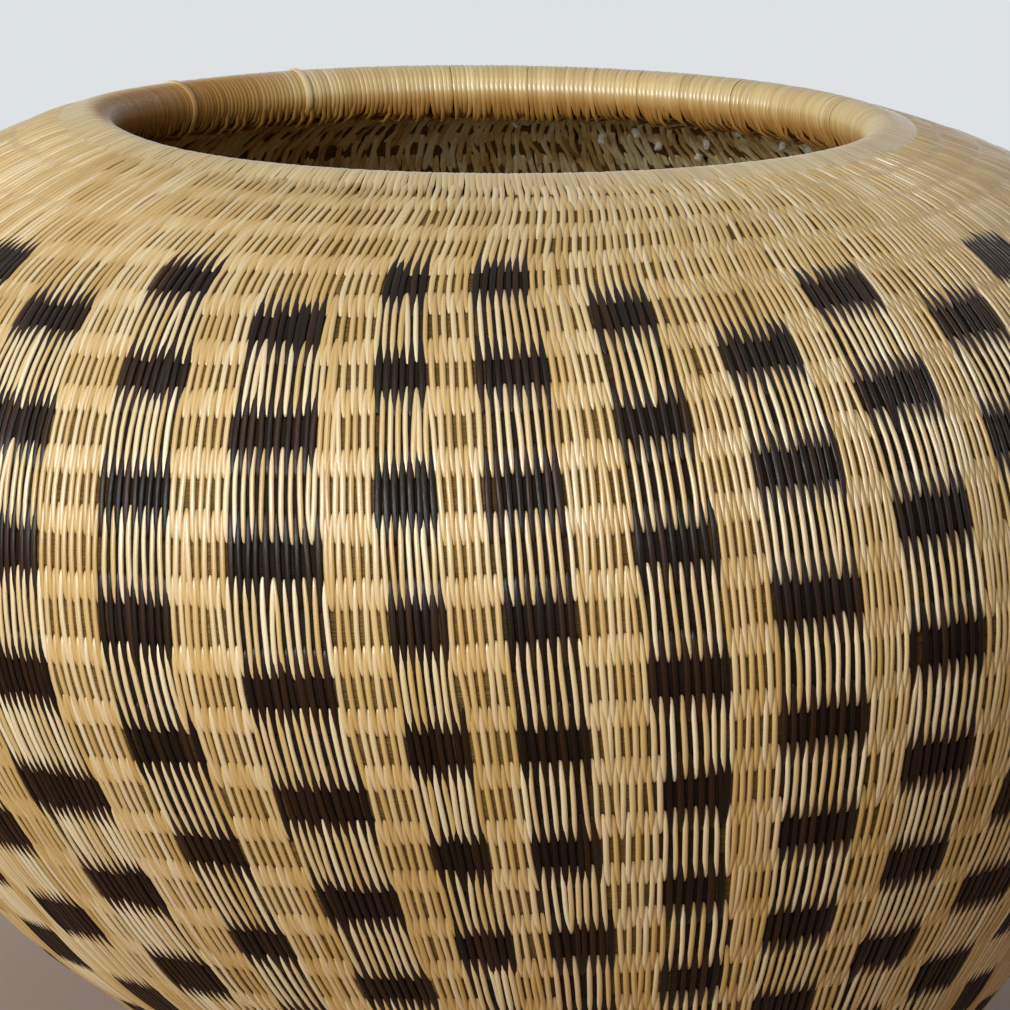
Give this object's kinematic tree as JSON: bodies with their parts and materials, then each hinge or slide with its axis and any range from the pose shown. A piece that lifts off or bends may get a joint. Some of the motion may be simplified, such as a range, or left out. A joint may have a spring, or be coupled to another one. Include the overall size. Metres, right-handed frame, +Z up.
{
  "type": "coiled palm basket",
  "caption": "Globular coiled palm basket with a wide rolled mouth and flat base, sewn in pale and dark strands in a checker pattern.",
  "frame": {"origin": "middle of the base's underside, under the start knot", "axes": "+Z up out of the mouth, -Y the pictured front, +X to the right as seen from the front"},
  "size_m": [0.3508, 0.3499, 0.2357],
  "materials": {
    "sewn_palm": "pale straw palm strands sewn over a brown fibre bundle, satin",
    "dyed_palm": "palm strands dyed near black, satin with a cool sheen",
    "rim_strand": "glossy pale palm strand wound tightly round the rim",
    "palm_bundle": "brown split palm fibre, dull"
  },
  "bodies": {
    "root": {"start_knot": "sewn_palm", "base_coil_01": "sewn_palm", "base_coil_02": "sewn_palm", "base_coil_03": "sewn_palm", "wall_coil_01": "sewn_palm", "wall_coil_02": "sewn_palm", "wall_coil_03": "sewn_palm", "wall_coil_04": "sewn_palm", "wall_coil_05": "sewn_palm", "wall_coil_06": "sewn_palm", "wall_coil_07": "sewn_palm", "wall_coil_08": "sewn_palm", "wall_coil_09": "sewn_palm", "wall_coil_10": "sewn_palm", "wall_coil_11": "sewn_palm", "wall_coil_12": "sewn_palm", "wall_coil_13": "sewn_palm", "wall_coil_14": "sewn_palm", "wall_coil_15": "sewn_palm", "shoulder_coil_01": "sewn_palm", "shoulder_coil_02": "sewn_palm", "shoulder_coil_03": "sewn_palm", "shoulder_coil_04": "sewn_palm", "shoulder_coil_05": "sewn_palm", "shoulder_coil_06": "sewn_palm", "shoulder_coil_07": "sewn_palm", "shoulder_coil_08": "sewn_palm", "shoulder_coil_09": "sewn_palm", "shoulder_coil_10": "sewn_palm", "rim_bundle": "palm_bundle", "rim_binding_1": "rim_strand", "rim_binding_2": "rim_strand", "rim_binding_3": "rim_strand", "rim_binding_4": "rim_strand", "rim_binding_5": "rim_strand", "rim_binding_6": "rim_strand", "rim_binding_7": "rim_strand"}
  },
  "joints": []
}
